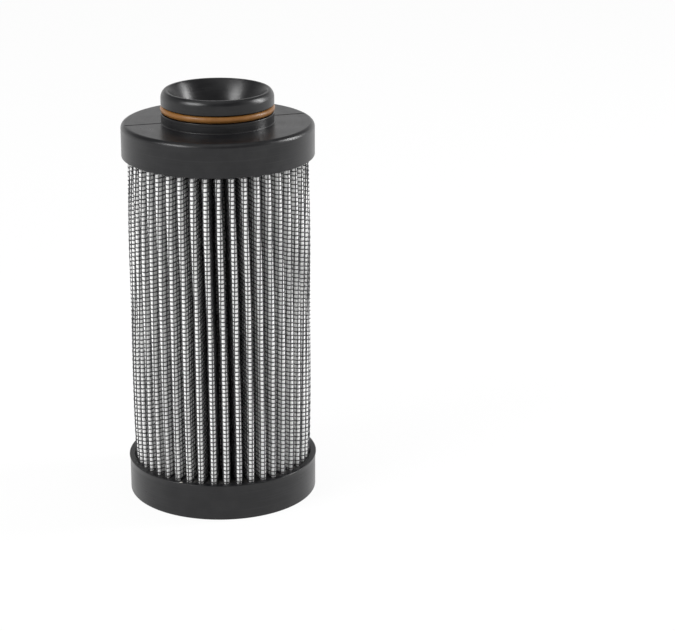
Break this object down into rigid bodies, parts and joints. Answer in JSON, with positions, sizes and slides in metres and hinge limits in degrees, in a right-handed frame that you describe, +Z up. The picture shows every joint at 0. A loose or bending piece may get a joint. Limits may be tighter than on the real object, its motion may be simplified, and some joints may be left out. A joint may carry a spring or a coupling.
{
  "type": "pleated filter element",
  "caption": "Cylindrical pleated hydraulic filter element with moulded end caps and a sealed funnel neck on top.",
  "frame": {"origin": "centre of the bottom cap's flat base", "axes": "+Z up along the element's axis, out of the neck; X and Y are square to it"},
  "size_m": [0.0624, 0.0624, 0.1355],
  "materials": {
    "moulded_nylon": "semi-matte moulded nylon",
    "seal_rubber": "smooth amber-brown rubber",
    "core_nylon": "matte moulded nylon",
    "coated_wire": "dark coated wire cloth",
    "media_fleece": "white glass-fibre fleece",
    "potting_adhesive": "set adhesive, dull"
  },
  "bodies": {
    "root": {"top_end_cap": "moulded_nylon", "bottom_end_cap": "moulded_nylon", "neck_seal": "seal_rubber", "core_tube": "core_nylon", "outer_mesh": "coated_wire", "filter_media": "media_fleece", "inner_mesh": "coated_wire", "top_potting": "potting_adhesive", "bottom_potting": "potting_adhesive"}
  },
  "joints": []
}
